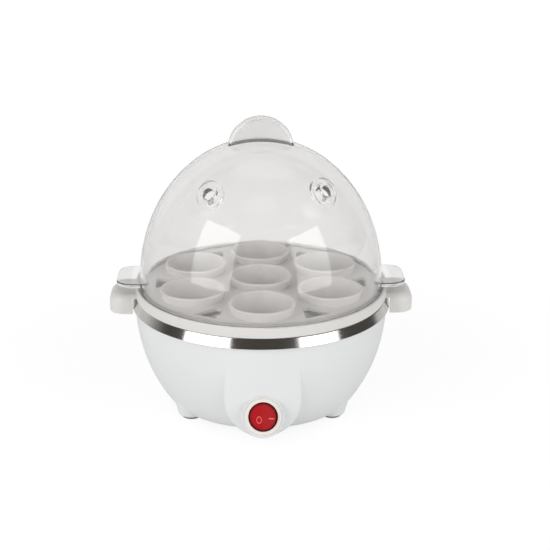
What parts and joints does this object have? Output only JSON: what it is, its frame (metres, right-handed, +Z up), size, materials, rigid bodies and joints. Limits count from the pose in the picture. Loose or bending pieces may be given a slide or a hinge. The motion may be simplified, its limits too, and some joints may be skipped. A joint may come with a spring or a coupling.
{
  "type": "electric egg cooker",
  "caption": "Round electric egg cooker: white bowl base with a red rocker switch, polished steel heating dish, egg tray with side ears and a clear domed lid with a fin handle.",
  "frame": {"origin": "on the bowl's upright axis, at the table under the foot pads", "axes": "+Z up; -Y is the front, where the rocker switch is; +Y is the back, where the cord goes in; +X points along the right-hand ear"},
  "size_m": [0.191, 0.1721, 0.1844],
  "materials": {
    "white_plastic": "glossy moulded",
    "cover_plastic": "fine matt moulded",
    "tray_plastic": "satin moulded",
    "clear_plastic": "clear, polished",
    "red_plastic": "glossy, slightly see-through",
    "cream_plastic": "glossy moulded",
    "polished_steel": "polished stainless sheet",
    "zinc_steel": "zinc plated",
    "cast_aluminium": "as cast",
    "element_sheath": "dark oxidised",
    "brass": "plain",
    "white_ceramic": "unglazed",
    "black_bakelite": "matt",
    "nylon": "natural nylon",
    "silicone": "soft matt",
    "grey_rubber": "soft matt",
    "lamp_glass": "clear",
    "brown_insulation": "silicone sleeve",
    "blue_insulation": "silicone sleeve"
  },
  "bodies": {
    "base": {"base_shell": "white_plastic", "bottom_cover": "cover_plastic", "foot_pad_front_left": "grey_rubber", "foot_pad_front_right": "grey_rubber", "foot_pad_rear_left": "grey_rubber", "foot_pad_rear_right": "grey_rubber", "cover_screws": "zinc_steel", "heating_dish": "polished_steel", "dish_gasket": "silicone", "dish_standoffs": "zinc_steel", "dish_screws": "zinc_steel", "heat_spreader": "cast_aluminium", "heating_element": "element_sheath", "element_insulators": "white_ceramic", "element_pins": "zinc_steel", "thermostat_cap": "cast_aluminium", "thermostat_body": "black_bakelite", "thermostat_blades": "brass", "thermostat_strap": "zinc_steel", "thermostat_screws": "zinc_steel", "thermal_fuse": "cast_aluminium", "fuse_clip": "zinc_steel", "switch_housing": "cream_plastic", "switch_blades": "brass", "switch_lamp": "lamp_glass", "cord_gland": "cover_plastic", "gland_nut": "nylon", "live_wire": "brown_insulation", "neutral_wire": "blue_insulation", "fuse_wire": "blue_insulation", "switched_wire": "brown_insulation", "heater_wire": "brown_insulation", "lamp_wire": "blue_insulation"},
    "tray": {"egg_tray": "tray_plastic"},
    "lid": {"lid": "clear_plastic"},
    "rocker": {"switch_rocker": "red_plastic", "rocker_plunger": "nylon", "plunger_spring": "zinc_steel"},
    "contact": {"contact_arm": "brass"}
  },
  "joints": [
    {"name": "tray_lift", "type": "slide", "parent": "base", "child": "tray", "axis": [0, 0, 1], "range_m": [0, 0.12]},
    {"name": "lid_lift", "type": "slide", "parent": "tray", "child": "lid", "axis": [0, 0, 1], "range_m": [0, 0.12]},
    {"name": "rocker_tilt", "type": "hinge", "parent": "base", "child": "rocker", "pos_m": [0, -0.0797, 0.02225], "axis": [0, 0.342, 0.9397], "range_deg": [0, 22]},
    {"name": "contact_tilt", "type": "hinge", "parent": "base", "child": "contact", "pos_m": [0, -0.0719, 0.01941], "axis": [0, 0.342, 0.9397], "range_deg": [-16, 0]}
  ],
  "couplings": [
    {"joint": "contact_tilt", "follows": "rocker_tilt", "ratio": -0.72727}
  ]
}
